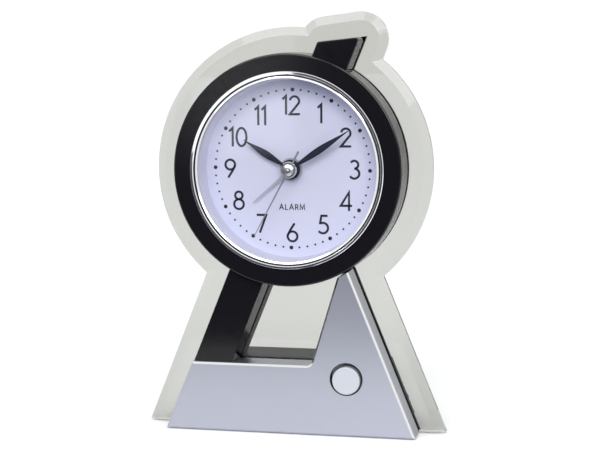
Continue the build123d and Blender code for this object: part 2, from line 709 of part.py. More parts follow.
time_stem_phase = mesh_phase(minute_phase, MINUTE_TEETH, TIME_STEM_DIRECTION, TIME_STEM_TEETH)
with BuildPart() as time_stem:
    gear(LEVEL_MINUTE, GEAR_THICKNESS, TIME_STEM_TEETH, MODULE, time_stem_phase, TIME_STEM_AT, 0)
    disc(-6.85, 12.0, STEM_RADIUS, at=TIME_STEM_AT)
    disc(-7.7, -6.85, POST_RADIUS, at=TIME_STEM_AT)
finish(time_stem, "time_stem")

# ---------------------------------------------------------------- movement case and motor
with BuildPart() as movement_case_front:
    disc(CASE_FRONT_Y, CASE_FRONT_Y + CASE_WALL, CASE_RADIUS, 3.0)
    disc(CASE_FRONT_Y + CASE_WALL, CORE_BACK_Y, CASE_RADIUS, CASE_RADIUS - CASE_WALL)
    disc(CASE_FRONT_Y + CASE_WALL, -2.5, POST_RADIUS, at=MINUTE_AT)
    for spot in (ALARM_STEM_AT, TIME_STEM_AT):
        disc(-7.8, -6.0, RUNNING_BORE, at=spot, mode=Mode.SUBTRACT)
finish(movement_case_front, "movement_case_front")

with BuildPart() as movement_case_back:
    disc(CORE_BACK_Y + 0.1, CASE_BACK_Y, CASE_RADIUS, CASE_RADIUS - CASE_WALL)
    disc(CORE_BACK_Y + 0.1, -4.2, 27.6, CASE_RADIUS - CASE_WALL)
    disc(CASE_BACK_Y - CASE_WALL, CASE_BACK_Y, CASE_RADIUS)
    disc(-2.6, CASE_BACK_Y - CASE_WALL, POST_RADIUS, at=THIRD_AT)
    disc(0.7, CASE_BACK_Y - CASE_WALL, POST_RADIUS, at=INTERMEDIATE_AT)
    disc(2.2, CASE_BACK_Y - CASE_WALL, 0.4, at=ROTOR_AT)
    for spot in ((-6, -17.5), (6, -17.5)):
        disc(4.7, CASE_BACK_Y - CASE_WALL, 0.8, at=spot)
    for spot in ((-1.7, 10), (15.2, 11)):
        disc(4.25, CASE_BACK_Y - CASE_WALL, 0.7, at=spot)
    for spot in (ALARM_STEM_AT, TIME_STEM_AT):
        disc(5, CASE_BACK_Y + 1, STEM_RADIUS + 0.06, at=spot, mode=Mode.SUBTRACT)
    for angle in MOVEMENT_SCREW_ANGLES:
        spot = polar(MOVEMENT_SCREW_RADIUS, angle)
        disc(-6, -4, 0.8, at=spot, mode=Mode.SUBTRACT)
finish(movement_case_back, "movement_case_back")

with BuildPart() as stator:
    def draw_stator():
        with Locations((1.75, 17.0)):
            Rectangle(15.5, 1.8)
        with Locations((-1.75, 13.2)):
            Rectangle(2.5, 9.4)
        with Locations((11.25, 13.2)):
            Rectangle(2.5, 9.4)
        with Locations((4.9, 10.0)):
            Rectangle(15.8, 3.0)
        with Locations(ROTOR_AT):
            Circle(4.3)
            Circle(2.6, mode=Mode.SUBTRACT)

    layer(dial_plane(4.25), 0.8, draw_stator)
finish(stator, "stator")

with BuildPart() as motor_coil:
    with BuildSketch(Plane(origin=(-0.45, 3.6, DIAL_Z + 17.0), z_dir=(1, 0, 0))) as winding:
        Circle(1.9)
    extrude(amount=10.4)
    with Locations((4.75, 3.85, DIAL_Z + 17.0)):
        Box(12, 0.84, 1.84, mode=Mode.SUBTRACT)
finish(motor_coil, "motor_coil")

with BuildPart() as circuit_board:
    with Locations((0, 4.3, DIAL_Z - 17.5)):
        Box(18, 0.8, 6)
finish(circuit_board, "circuit_board")

with BuildPart() as control_chip:
    with BuildSketch(dial_plane(3.9, x=-3, z=-17.5)) as chip_base:
        Circle(2.2)
    extrude(amount=0.8, taper=35)
finish(control_chip, "control_chip")

with BuildPart() as crystal:
    with BuildSketch(Plane(origin=(1.5, 2.9, DIAL_Z - 17.5), z_dir=(1, 0, 0))) as can:
        Circle(1.0)
    extrude(amount=6)
finish(crystal, "crystal")


# ---------------------------------------------------------------- hands
def hand(y_front, thickness, turn, bore, hub, draw_blade):
    """Adds a hand pressed on its tube, with the blade that draw_blade() draws pointing up."""
    def draw():
        draw_blade()
        Circle(hub)
        Circle(bore, mode=Mode.SUBTRACT)
    layer(dial_plane(y_front + thickness, turn), thickness, draw)


def draw_leaf(length, half_width, tip, neck=0.45):
    """A leaf blade: narrow at the hub, widest in the middle and drawn out to a point."""
    middle = 0.52 * length
    with BuildLine() as blade:
        Line((neck, 0), (neck, 3.2))
        Spline((neck, 3.2), (half_width, middle), (tip, length), tangents=((0.12, 1), (-0.05, 1)))
        Line((tip, length), (-tip, length))
        Spline((-tip, length), (-half_width, middle), (-neck, 3.2), tangents=((-0.05, -1), (0.12, -1)))
        Line((-neck, 3.2), (-neck, 0))
        Line((-neck, 0), (neck, 0))
    make_face(blade.edges())


def draw_needle(length, tail, root, tip):
    """A straight tapering pointer with an optional tail."""
    Polygon((-root, 0), (root, 0), (tip, length), (-tip, length), align=None)
    if tail:
        Polygon((-root, 0), (root, 0), (root, -tail), (-root, -tail), align=None)


with BuildPart() as alarm_hand:
    hand(-10.3, 0.3, ALARM_ANGLE, 2.9, 3.6, lambda: draw_needle(16.1, 0, 0.55, 0.18))
finish(alarm_hand, "alarm_hand")

with BuildPart() as hour_hand:
    hand(-11.4, 0.35, HOUR_ANGLE, 2.3, 3.1, lambda: draw_leaf(17.5, 1.1, 0.12))
finish(hour_hand, "hour_hand")

with BuildPart() as minute_hand:
    hand(-12.5, 0.35, MINUTE_ANGLE, 1.7, 2.9, lambda: draw_leaf(22.1, 1.05, 0.12))
finish(minute_hand, "minute_hand")

with BuildPart() as second_hand:
    hand(-13.5, 0.25, SECOND_ANGLE, 0.8, 1.9, lambda: draw_needle(23.6, 6.6, 0.3, 0.1))
finish(second_hand, "second_hand")

with BuildPart() as hub_cap:
    revolved([
        (-13.5, 0),
        (-13.5, 2.6),
        (-13.9, 2.6),
        (-14.4, 2.35),
        (-14.8, 1.75),
        (-15.05, 0.95),
        (-15.12, 0),
    ])
finish(hub_cap, "hub_cap")


# ---------------------------------------------------------------- knobs and alarm switch
def knob(at):
    """Adds a round knob with a ribbed rim, pressed on a stem."""
    def draw_rim():
        Circle(4.6)
        with PolarLocations(4.75, 20):
            Circle(0.35, mode=Mode.SUBTRACT)

    back = DRUM_BACK_Y + 3.6
    disc(DRUM_BACK_Y + 0.4, back, 4.3, at=at)
    layer(dial_plane(back - 0.5, x=at[0], z=at[1]), 2.3, draw_rim)
    disc(DRUM_BACK_Y, 12.0, STEM_RADIUS, at=at, mode=Mode.SUBTRACT)


with BuildPart() as time_knob:
    knob(TIME_STEM_AT)
finish(time_knob, "time_knob")

with BuildPart() as alarm_knob:
    knob(ALARM_STEM_AT)
finish(alarm_knob, "alarm_knob")

with BuildPart() as alarm_switch_slider:
    with Locations((-SWITCH_TRAVEL / 2, 7.5, DIAL_Z + SWITCH_Z)):
        Box(13.4, 0.35, 4.4)
    with Locations((-SWITCH_TRAVEL / 2, 9.2, DIAL_Z + SWITCH_Z)):
        Box(2.6, 3.4, 2.6)
finish(alarm_switch_slider, "alarm_switch_slider")

with BuildPart() as alarm_switch_contact:
    with Locations((0, 7.0, DIAL_Z + SWITCH_Z)):
        Box(17.0, 0.4, 3.6)
finish(alarm_switch_contact, "alarm_switch_contact")

# ---------------------------------------------------------------- snooze button
with BuildPart() as snooze_button:
    with BuildSketch(dial_plane(SNOOZE_BACK_Y, BAR_ANGLE)) as snooze_face:
        draw_snooze()
        fillet(snooze_face.vertices().sort_by(Axis.Y)[-2:], 1.3)
    extrude(amount=SNOOZE_BACK_Y - BAR_Y, taper=SNOOZE_TAPER)
    chamfer(snooze_button.faces().sort_by(Axis.Y)[0].outer_wire().edges(), 0.3)
    with BuildSketch(dial_plane(SNOOZE_BACK_Y, BAR_ANGLE)) as snooze_hollow:
        draw_snooze(grow=-2.1, low=36.2)
    extrude(amount=SNOOZE_BACK_Y - BAR_Y - 1.3, mode=Mode.SUBTRACT)
    # skirt with two lugs that catch behind the ring's wall, and the rib that works the switch
    with BuildSketch(dial_plane(SNOOZE_BACK_Y - 0.6, BAR_ANGLE)) as skirt:
        for side in (-1, 1):
            with Locations((side * 5.15, 33.9)):
                Rectangle(0.9, 2.4)
            with Locations((side * 5.85, 33.1)):
                Rectangle(2.1, 0.8)
        with Locations((0, 34.45)):
            Rectangle(1.6, 1.2)
    extrude(amount=4.5)
finish(snooze_button, "snooze_button")

with BuildPart() as snooze_switch:
    with BuildSketch(dial_plane(CORE_Y, BAR_ANGLE)) as switch_body:
        with Locations((0, 32.2)):
            Rectangle(5.0, 1.0)
    extrude(amount=4.7)
finish(snooze_switch, "snooze_switch")

# ---------------------------------------------------------------- light button
with BuildPart() as light_button:
    light_at = (LIGHT_X, LIGHT_Z - DIAL_Z)
    disc(-18.2, -13.2, 4.38, at=light_at)
    fillet(light_button.faces().sort_by(Axis.Y)[0].edges(), 0.5)
    disc(-13.2, -12.4, 5.6, at=light_at)
    disc(-12.4, -11.9, 1.5, at=light_at)
finish(light_button, "light_button")

with BuildPart() as light_switch:
    with Locations((LIGHT_X, -9.5, LIGHT_Z)):
        Box(6.0, 2.2, 6.0)
finish(light_switch, "light_switch")

with BuildPart() as light_spring:
    coil_start = (LIGHT_X, -8.7, LIGHT_Z)
    with BuildLine():
        coil = Helix(pitch=1.1, height=3.3, radius=4.9, center=coil_start, direction=(0, -1, 0))
    with BuildSketch(Plane(origin=coil @ 0, z_dir=coil % 0)) as wire:
        Circle(0.2)
    sweep()
finish(light_spring, "light_spring")

# ---------------------------------------------------------------- battery and sounder
with BuildPart() as battery_cell:
    with BuildSketch(Plane(origin=(-23.9, CELL_Y, CELL_Z), z_dir=(1, 0, 0))) as can_outline:
        Circle(CELL_RADIUS)
    extrude(amount=49.2)
    with BuildSketch(Plane(origin=(25.3, CELL_Y, CELL_Z), z_dir=(1, 0, 0))) as nub:
        Circle(2.7)
    extrude(amount=1.0)
finish(battery_cell, "battery_cell")

with BuildPart() as battery_contact:
    with Locations((27.25, CELL_Y, 8.4)):
        Box(1.9, 9.0, 9.8)
    with Locations((27.95, CELL_Y, 8.4)):
        Box(1.7, 10.0, 8.8, mode=Mode.SUBTRACT)
finish(battery_contact, "battery_contact")

with BuildPart() as battery_spring:
    with BuildLine():
        turns = Helix(
            pitch=0.9, height=3.6, radius=3.2, center=(-27.9, CELL_Y, CELL_Z), direction=(1, 0, 0)
        )
    with BuildSketch(Plane(origin=turns @ 0, z_dir=turns % 0)) as spring_wire:
        Circle(0.25)
    sweep()
finish(battery_spring, "battery_spring")

with BuildPart() as battery_door:
    with BuildSketch(Plane.YZ.offset(-26.9)) as door_section:
        with Locations((DOOR_PIVOT_Y, DOOR_PIVOT_Z)):
            Circle(0.8)
        Polygon(
            (DOOR_PIVOT_Y - 0.8, DOOR_PIVOT_Z),
            (DOOR_PIVOT_Y + 0.8, DOOR_PIVOT_Z),
            (DOOR_PIVOT_Y + 0.8, 16.8),
            (DOOR_PIVOT_Y - 0.8, 16.8),
            align=None,
        )
    extrude(amount=53.8)
    with BuildSketch(Plane.YZ.offset(-28.0)) as pips:
        with Locations((DOOR_PIVOT_Y, DOOR_PIVOT_Z)):
            Circle(0.6)
    extrude(amount=56.0)
    # grooves for a thumbnail
    for z in (12.2, 13.4, 14.6):
        with Locations((0, BACK_Y, z)):
            Box(12.0, 0.8, 0.6, mode=Mode.SUBTRACT)
finish(battery_door, "battery_door")

with BuildPart() as buzzer:
    disc(-13.9, CORE_Y, 7.5, at=(-16.0, 10.0 - DIAL_Z))
    disc(-14.0, -12.9, 1.0, at=(-16.0, 10.0 - DIAL_Z), mode=Mode.SUBTRACT)
finish(buzzer, "buzzer")

# ---------------------------------------------------------------- screws and feet
def screw(head_y, tip_y, head_radius, head_height, shank_radius, at):
    """Adds a pan-head screw whose head's underside is at head_y, with a cross slot."""
    disc(tip_y, head_y, shank_radius, at=at)
    disc(head_y, head_y + head_height, head_radius, at=at)
    with BuildSketch(dial_plane(head_y + head_height, x=at[0], z=at[1])) as slot:
        Rectangle(head_radius * 1.3, 0.3)
        Rectangle(0.3, head_radius * 1.3)
    extrude(slot.sketch, amount=0.6 * head_height, mode=Mode.SUBTRACT)


with BuildPart() as case_screws:
    for spot, back, head in REAR_SCREWS:
        screw(head, -7.9, 1.95, 1.4, 1.05, spot)
finish(case_screws, "case_screws")

with BuildPart() as frame_screws:
    for spot in frame_screw_places():
        screw(CORE_BACK_Y - 1.2, -12.4, 1.5, 1.0, 0.75, spot)
finish(frame_screws, "frame_screws")

with BuildPart() as movement_screws:
    for angle in MOVEMENT_SCREW_ANGLES:
        screw(-4.2, -7.7, 1.3, 0.8, 0.7, polar(MOVEMENT_SCREW_RADIUS, angle))
finish(movement_screws, "movement_screws")

with BuildPart() as rubber_feet:
    with BuildSketch(Plane.XY) as pads:
        with Locations(*FRONT_FEET, *REAR_FEET):
            Circle(2.5)
    extrude(amount=GROUND_GAP + 0.95)
finish(rubber_feet, "rubber_feet")
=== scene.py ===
import bpy
import bmesh
from math import cos, pi, radians, sin
from mathutils import Matrix, Vector


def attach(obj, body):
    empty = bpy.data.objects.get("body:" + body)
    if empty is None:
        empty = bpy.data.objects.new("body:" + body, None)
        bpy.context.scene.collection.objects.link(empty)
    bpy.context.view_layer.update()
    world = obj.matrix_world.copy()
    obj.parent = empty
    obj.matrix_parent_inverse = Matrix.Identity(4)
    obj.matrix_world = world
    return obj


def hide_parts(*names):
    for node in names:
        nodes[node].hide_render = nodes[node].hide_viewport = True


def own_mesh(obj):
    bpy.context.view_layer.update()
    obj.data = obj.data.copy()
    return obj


# Bedside alarm clock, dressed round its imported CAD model. Metres; the dial faces -Y.
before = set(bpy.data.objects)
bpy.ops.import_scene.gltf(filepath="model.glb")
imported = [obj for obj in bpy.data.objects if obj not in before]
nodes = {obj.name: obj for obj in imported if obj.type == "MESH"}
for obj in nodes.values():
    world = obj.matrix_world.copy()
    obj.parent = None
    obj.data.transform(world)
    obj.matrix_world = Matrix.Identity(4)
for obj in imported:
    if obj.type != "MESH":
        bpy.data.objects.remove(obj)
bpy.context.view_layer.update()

MM = 0.001
DIAL_Z = 83.1 * MM              # height of the hands' axis
LIGHT_X = 18.55 * MM            # the light button's axis
LIGHT_Z = 18.0 * MM
FOOT_FRONT_Y = -16.5 * MM       # the foot's front and its chamfers are in front of this
FOOT_LEFT_X = -20.0 * MM        # the foot's left end is left of this
WELL_RADIUS = 7.0 * MM          # just outside the light button's bore and sleeve
GROOVE_INNER = 29.04 * MM       # the bottom of the bezel's groove, as radii
GROOVE_OUTER = 29.46 * MM
GROOVE_FRONT_Y = -17.6 * MM     # the groove is in front of this
SLEEVE_BAND_X = 14.0 * MM       # where the battery's bright end begins

# printed dial, as radii and sizes on its face
PRINT_FRONT = -9.015 * MM
PRINT_BACK = -8.985 * MM
SHARPEST = 0.35                 # keeps the mitre of a sharp corner short
NUMERAL_RADIUS = 20.0 * MM
NUMERAL_HEIGHT = 6.0 * MM
NUMERAL_STROKE = 0.72 * MM
NUMERAL_GAP = 0.13              # between figures, as a share of their height
DOTS_RADIUS = 24.84 * MM
DOTS_TURN = 0.9                 # degrees that the dots stand past their minutes
HOUR_DOT = 0.62 * MM
MINUTE_DOT = 0.32 * MM
WORD_DROP = 12.0 * MM
WORD_HEIGHT = 1.75 * MM
WORD_STROKE = 0.3 * MM
WORD_GAP = 0.2


# ---------------------------------------------------------------- materials
def srgb(*levels):
    """Linear colour from 0-255 display levels."""
    channels = []
    for level in levels:
        share = level / 255
        channels.append(share / 12.92 if share <= 0.04045 else ((share + 0.055) / 1.055) ** 2.4)
    return tuple(channels) + (1.0,)


class Shader:
    """A material under construction: its node tree and its principled shader."""

    def __init__(self, name):
        self.material = bpy.data.materials.new(name)
        self.material.use_nodes = True
        self.tree = self.material.node_tree
        self.principled = self.tree.nodes["Principled BSDF"]
        self.output = self.tree.nodes["Material Output"]
        self.place = self.tree.nodes.new("ShaderNodeTexCoord").outputs["Object"]

    def node(self, kind, **values):
        made = self.tree.nodes.new(kind)
        for name, value in values.items():
            setattr(made, name, value)
        return made

    def link(self, source, target):
        self.tree.links.new(source, target)

    def noise(self, scale, detail=3.0, stretch=None):
        """Noise with scale features per metre."""
        texture = self.node("ShaderNodeTexNoise")
        texture.inputs["Scale"].default_value = scale
        texture.inputs["Detail"].default_value = detail
        place = self.place
        if stretch:
            mapping = self.node("ShaderNodeMapping")
            mapping.inputs["Scale"].default_value = stretch
            self.link(self.place, mapping.inputs["Vector"])
            place = mapping.outputs["Vector"]
        self.link(place, texture.inputs["Vector"])
        return texture.outputs["Fac"]

    def spread(self, factor, low, high):
        """Maps the middle of a noise to low..high."""
        ranged = self.node("ShaderNodeMapRange")
        ranged.inputs["From Min"].default_value = 0.3
        ranged.inputs["From Max"].default_value = 0.7
        ranged.inputs["To Min"].default_value = low
        ranged.inputs["To Max"].default_value = high
        self.link(factor, ranged.inputs["Value"])
        return ranged.outputs["Result"]

    def tint(self, factor, first, second):
        """A colour between two, by factor."""
        mix = self.node("ShaderNodeMix", data_type="RGBA")
        mix.inputs["A"].default_value = first
        mix.inputs["B"].default_value = second
        self.link(factor, mix.inputs["Factor"])
        return mix.outputs["Result"]

    def bump(self, factor, depth):
        """Relief of a depth in metres."""
        bump = self.node("ShaderNodeBump")
        bump.inputs["Strength"].default_value = 1.0
        bump.inputs["Distance"].default_value = depth
        self.link(factor, bump.inputs["Height"])
        self.link(bump.outputs["Normal"], self.principled.inputs["Normal"])

    def set(self, **values):
        for name, value in values.items():
            self.principled.inputs[name.replace("_", " ")].default_value = value


def scaled(color, factor):
    """The same colour, lighter or darker."""
    return tuple(min(1.0, channel * factor) for channel in color[:3]) + (1.0,)


def moulded(name, color, rough=(0.3, 0.4), grain=900.0, depth=0.000004, vary=0.06, metal=0.0,
            specular=0.5, stretch=None):
    """A moulded, painted or turned surface: slight colour drift, uneven gloss and fine grain."""
    shader = Shader(name)
    drift = shader.noise(grain * 0.12, stretch=stretch)
    fine = shader.noise(grain, detail=4.0, stretch=stretch)
    shader.link(
        shader.tint(drift, scaled(color, 1 - vary), scaled(color, 1 + vary)),
        shader.principled.inputs["Base Color"],
    )
    shader.link(shader.spread(fine, *rough), shader.principled.inputs["Roughness"])
    shader.bump(fine, depth)
    shader.set(Metallic=metal, Specular_IOR_Level=specular)
    return shader.material


def silver_paint():
    """Satin silver paint with fine flake."""
    shader = Shader("silver_paint")
    flake = shader.noise(9000.0, detail=1.0)
    cloud = shader.noise(25.0)
    base = shader.tint(cloud, srgb(174, 177, 189), srgb(180, 183, 195))
    shader.link(base, shader.principled.inputs["Base Color"])
    shader.link(shader.spread(flake, 0.30, 0.40), shader.principled.inputs["Roughness"])
    shader.bump(flake, 0.000003)
    shader.set(Metallic=0.95, Coat_Weight=0.15, Coat_Roughness=0.15)
    return shader.material


def clear_acrylic():
    """The faintly grey clear plate."""
    shader = Shader("clear_acrylic")
    cloud = shader.noise(18.0)
    shader.link(
        shader.tint(cloud, srgb(204, 205, 201), srgb(206, 207, 203)),
        shader.principled.inputs["Base Color"],
    )
    shader.link(shader.spread(cloud, 0.02, 0.05), shader.principled.inputs["Roughness"])
    shader.set(Transmission_Weight=1.0, IOR=1.34)
    return shader.material


def lens_glass():
    """A thin flat lens: clear, with a soft reflection."""
    shader = Shader("lens_glass")
    clear = shader.node("ShaderNodeBsdfTransparent")
    clear.inputs["Color"].default_value = (0.985, 0.985, 0.99, 1)
    gloss = shader.node("ShaderNodeBsdfGlossy")
    smear = shader.noise(60.0)
    shader.link(shader.spread(smear, 0.05, 0.08), gloss.inputs["Roughness"])
    fresnel = shader.node("ShaderNodeFresnel")
    fresnel.inputs["IOR"].default_value = 1.45
    mix = shader.node("ShaderNodeMixShader")
    shader.link(fresnel.outputs["Fac"], mix.inputs["Fac"])
    shader.link(clear.outputs["BSDF"], mix.inputs[1])
    shader.link(gloss.outputs["BSDF"], mix.inputs[2])
    shader.link(mix.outputs["Shader"], shader.output.inputs["Surface"])
    return shader.material


def battery_sleeve():
    """A plain printed sleeve with a bright band at the positive end."""
    shader = Shader("battery_sleeve")
    split = shader.node("ShaderNodeSeparateXYZ")
    shader.link(shader.place, split.inputs["Vector"])
    band = shader.node("ShaderNodeMapRange")
    band.inputs["From Min"].default_value = SLEEVE_BAND_X
    band.inputs["From Max"].default_value = SLEEVE_BAND_X + 0.1 * MM
    shader.link(split.outputs["X"], band.inputs["Value"])
    color = shader.tint(band.outputs["Result"], srgb(38, 42, 52), srgb(176, 138, 70))
    shader.link(color, shader.principled.inputs["Base Color"])
    fine = shader.noise(700.0)
    shader.link(shader.spread(fine, 0.28, 0.36), shader.principled.inputs["Roughness"])
    shader.set(Metallic=0.3)
    return shader.material


black_gloss = moulded("black_gloss", srgb(15, 15, 19), (0.10, 0.15), grain=500, depth=0.000001, specular=0.3)
black_satin = moulded("black_satin", srgb(24, 24, 26), (0.38, 0.5), grain=2200, depth=0.000008, specular=0.22)
black_matt = moulded("black_matt", srgb(22, 22, 24), (0.5, 0.6), grain=1800, depth=0.000006, specular=0.3)
silver = silver_paint()
# a brighter, smoother silver for the foot's chamfers: a painted highlight, standing in for a lamp's
# reflection on these edges
painted_highlight_edge = moulded("painted_highlight_edge", (0.86, 0.87, 0.89, 1), (0.12, 0.2), grain=1500, depth=0.000001,
                      vary=0.01, metal=1.0)
acrylic = clear_acrylic()
lens_clear = lens_glass()
chrome = moulded("bright_chrome", (0.88, 0.885, 0.9, 1), (0.03, 0.07), grain=300, depth=0,
                 vary=0.01, metal=1.0)
hub_satin = moulded("hub_satin", (0.8, 0.805, 0.81, 1), (0.2, 0.28), grain=900, depth=0.000001,
                    vary=0.02, metal=0.9)
dial_white = moulded("dial_lacquer", srgb(229, 231, 252), (0.45, 0.55), grain=3000, depth=0.000002,
                     vary=0.008)
ring_white = moulded("ring_white", srgb(236, 238, 250), (0.4, 0.5), grain=1500, depth=0.000003, vary=0.015)
ink = moulded("dial_ink", srgb(26, 30, 52), (0.5, 0.6), grain=6000, depth=0.000001, vary=0.1)
hand_dark = moulded("hand_slate", srgb(40, 46, 62), (0.3, 0.42), grain=4000, depth=0.000001,
                    vary=0.08, metal=0.5)
hand_silver = moulded("hand_silver", srgb(150, 150, 158), (0.3, 0.42), grain=4000, depth=0.000001,
                      vary=0.05, metal=0.3)
hand_pale = moulded("hand_pale", srgb(196, 196, 206), (0.3, 0.42), grain=4000, depth=0.000001,
                    vary=0.03, metal=0.2)
nylon = moulded("natural_nylon", srgb(228, 226, 214), (0.4, 0.52), grain=1200, depth=0.000004, vary=0.03)
brass = moulded("turned_brass", srgb(196, 158, 84), (0.2, 0.34), grain=900, depth=0.000002, metal=1.0)
steel = moulded("zinc_steel", srgb(178, 180, 184), (0.25, 0.4), grain=1500, depth=0.000003, metal=1.0)
copper = moulded("copper_winding", srgb(188, 104, 58), (0.3, 0.42), grain=2600, depth=0.00002, metal=0.9,
                 stretch=(8.0, 0.2, 0.2))
board_green = moulded("board_green", srgb(30, 92, 56), (0.3, 0.4), grain=1500, depth=0.000004, vary=0.12)
epoxy = moulded("black_epoxy", srgb(20, 20, 21), (0.3, 0.45), grain=1200, depth=0.000006)
warm_lamp = moulded("lamp_epoxy", srgb(246, 240, 206), (0.12, 0.2), grain=800, depth=0.000001)
button_white = moulded("button_white", srgb(172, 176, 184), (0.3, 0.4), grain=1400, depth=0.000002,
                       vary=0.01)
rubber = moulded("soft_rubber", srgb(34, 34, 34), (0.65, 0.8), grain=1600, depth=0.00001)
sleeve = battery_sleeve()

DRESS = {
    "front_housing": black_gloss, "snooze_button": black_gloss, "base_cover": silver,
    "head_frame": black_matt, "foot_frame": black_matt, "rear_housing": black_satin,
    "battery_door": black_satin, "time_knob": black_satin, "alarm_knob": black_satin,
    "alarm_switch_slider": button_white,
    "back_plate": acrylic, "chrome_bezel": chrome, "hub_cap": hub_satin, "lens": lens_clear,
    "dial_ring": ring_white, "dial": dial_white, "dial_lamp": warm_lamp,
    "hour_hand": hand_dark, "minute_hand": hand_dark,
    "second_hand": hand_silver, "alarm_hand": hand_pale,
    "hour_wheel": nylon, "minute_wheel": nylon, "alarm_wheel": nylon, "second_arbor": nylon,
    "third_wheel": nylon, "intermediate_wheel": nylon, "rotor": nylon, "centre_arbor": brass,
    "time_stem": nylon, "alarm_stem": nylon, "movement_case_front": nylon,
    "movement_case_back": nylon, "stator": steel, "motor_coil": copper,
    "circuit_board": board_green, "control_chip": epoxy, "crystal": steel,
    "alarm_switch_contact": steel, "snooze_switch": epoxy, "light_switch": epoxy,
    "light_button": button_white, "light_spring": steel, "battery_cell": sleeve,
    "battery_contact": steel, "battery_spring": steel, "buzzer": epoxy,
    "case_screws": steel, "frame_screws": steel, "movement_screws": steel,
    "rubber_feet": rubber,
}
for name, material in DRESS.items():
    mesh = nodes[name].data
    mesh.materials.clear()
    mesh.materials.append(material)


def another_material(name, material, chosen):
    """Gives another material to the faces of a CAD part that chosen(centre, normal) picks."""
    mesh = nodes[name].data
    mesh.materials.append(material)
    for face in mesh.polygons:
        if chosen(face.center, face.normal):
            face.material_index = len(mesh.materials) - 1


def in_groove(centre, normal):
    """The bottom of the groove round the bezel, which gets black matt: painted shade in the recess."""
    radius = Vector((centre.x, centre.z - DIAL_Z)).length
    return GROOVE_INNER < radius < GROOVE_OUTER and centre.y < GROOVE_FRONT_Y


def in_button_well(centre, normal):
    """The walls of the bore and the sleeve round the light button, which get black matt: painted shade for
    the dark gap round the button.
    """
    radius = Vector((centre.x - LIGHT_X, centre.z - LIGHT_Z)).length
    return radius < WELL_RADIUS and abs(normal.y) < 0.5


def on_front_edge(centre, normal):
    """The narrow chamfers along the foot's ledge and both edges of its leg, which get a brighter, smoother
    metal: a painted highlight.
    """
    slanted = -0.95 < normal.y < -0.3
    underneath = normal.z <= -0.3
    left_end = centre.x < FOOT_LEFT_X and abs(normal.x) > 0.4
    return centre.y < FOOT_FRONT_Y and slanted and not underneath and not left_end


# painted shade: the bottom of the bezel's groove is given black matt in place of chrome
another_material("chrome_bezel", black_matt, in_groove)
# painted shade: the bore and sleeve round the light button are given black matt in place of silver
another_material("base_cover", black_matt, in_button_well)
# painted highlight: the foot's chamfers get the brighter, smoother silver
another_material("base_cover", painted_highlight_edge, on_front_edge)


# ---------------------------------------------------------------- pieces beside the CAD parts
def add_piece(name, body, material, mesh):
    """Makes a piece from a mesh and puts it on its CAD body."""
    piece = bpy.data.objects.new(name, mesh)
    bpy.context.collection.objects.link(piece)
    mesh.materials.append(material)
    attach(piece, body)
    return piece


# the light button's return spring, as a copy of its own carried by the case
coil = nodes["light_spring"].data.copy()
coil.materials.clear()
return_spring = add_piece("light_return_spring", "case", steel, coil)
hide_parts("light_spring")
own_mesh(return_spring)


# ---------------------------------------------------------------- printed dial
def arc(x, y, radius, start, end, steps=22, squeeze=1.0):
    """Points on an arc, in degrees counter-clockwise."""
    points = []
    for i in range(steps + 1):
        turn = radians(start + (end - start) * i / steps)
        points.append((x + squeeze * radius * cos(turn), y + radius * sin(turn)))
    return points


def ribbon(build, points, width, closed=False):
    """Adds a thin solid stroke along points, given in metres on the dial's face."""
    count = len(points)
    sides = []
    for i, point in enumerate(points):
        here = Vector(point)
        before = Vector(points[i - 1]) if i or closed else None
        after = Vector(points[(i + 1) % count]) if i < count - 1 or closed else None
        first = (here - before).normalized() if before is not None else None
        second = (after - here).normalized() if after is not None else None
        first = first or second
        second = second or first
        along = (first + second).normalized()
        across = Vector((-along.y, along.x))
        reach = width / 2 / max(SHARPEST, across.dot(Vector((-first.y, first.x))))
        sides.append((here + across * reach, here - across * reach))
    corners = []
    for left, right in sides:
        corners.append([
            build.verts.new((side.x, depth, DIAL_Z + side.y))
            for side, depth in (
                (left, PRINT_FRONT), (right, PRINT_FRONT), (right, PRINT_BACK), (left, PRINT_BACK)
            )
        ])
    last = count if closed else count - 1
    for i in range(last):
        near = corners[i]
        far = corners[(i + 1) % count]
        for j in range(4):
            build.faces.new((near[j], near[(j + 1) % 4], far[(j + 1) % 4], far[j]))
    if not closed:
        build.faces.new(corners[0])
        build.faces.new(tuple(reversed(corners[-1])))


def spot(build, x, z, radius, sides=28):
    """Adds a thin round dot."""
    turns = [2 * pi * i / sides for i in range(sides)]
    rims = []
    for depth in (PRINT_FRONT, PRINT_BACK):
        rims.append([
            build.verts.new((x + radius * cos(turn), depth, z + radius * sin(turn))) for turn in turns
        ])
    build.faces.new(rims[0])
    build.faces.new(tuple(reversed(rims[1])))
    for i in range(sides):
        j = (i + 1) % sides
        build.faces.new((rims[0][i], rims[0][j], rims[1][j], rims[1][i]))


def as_mesh(name, build):
    """Turns a build into a mesh with its normals outward."""
    bmesh.ops.recalc_face_normals(build, faces=build.faces)
    mesh = bpy.data.meshes.new(name)
    build.to_mesh(mesh)
    build.free()
    return mesh


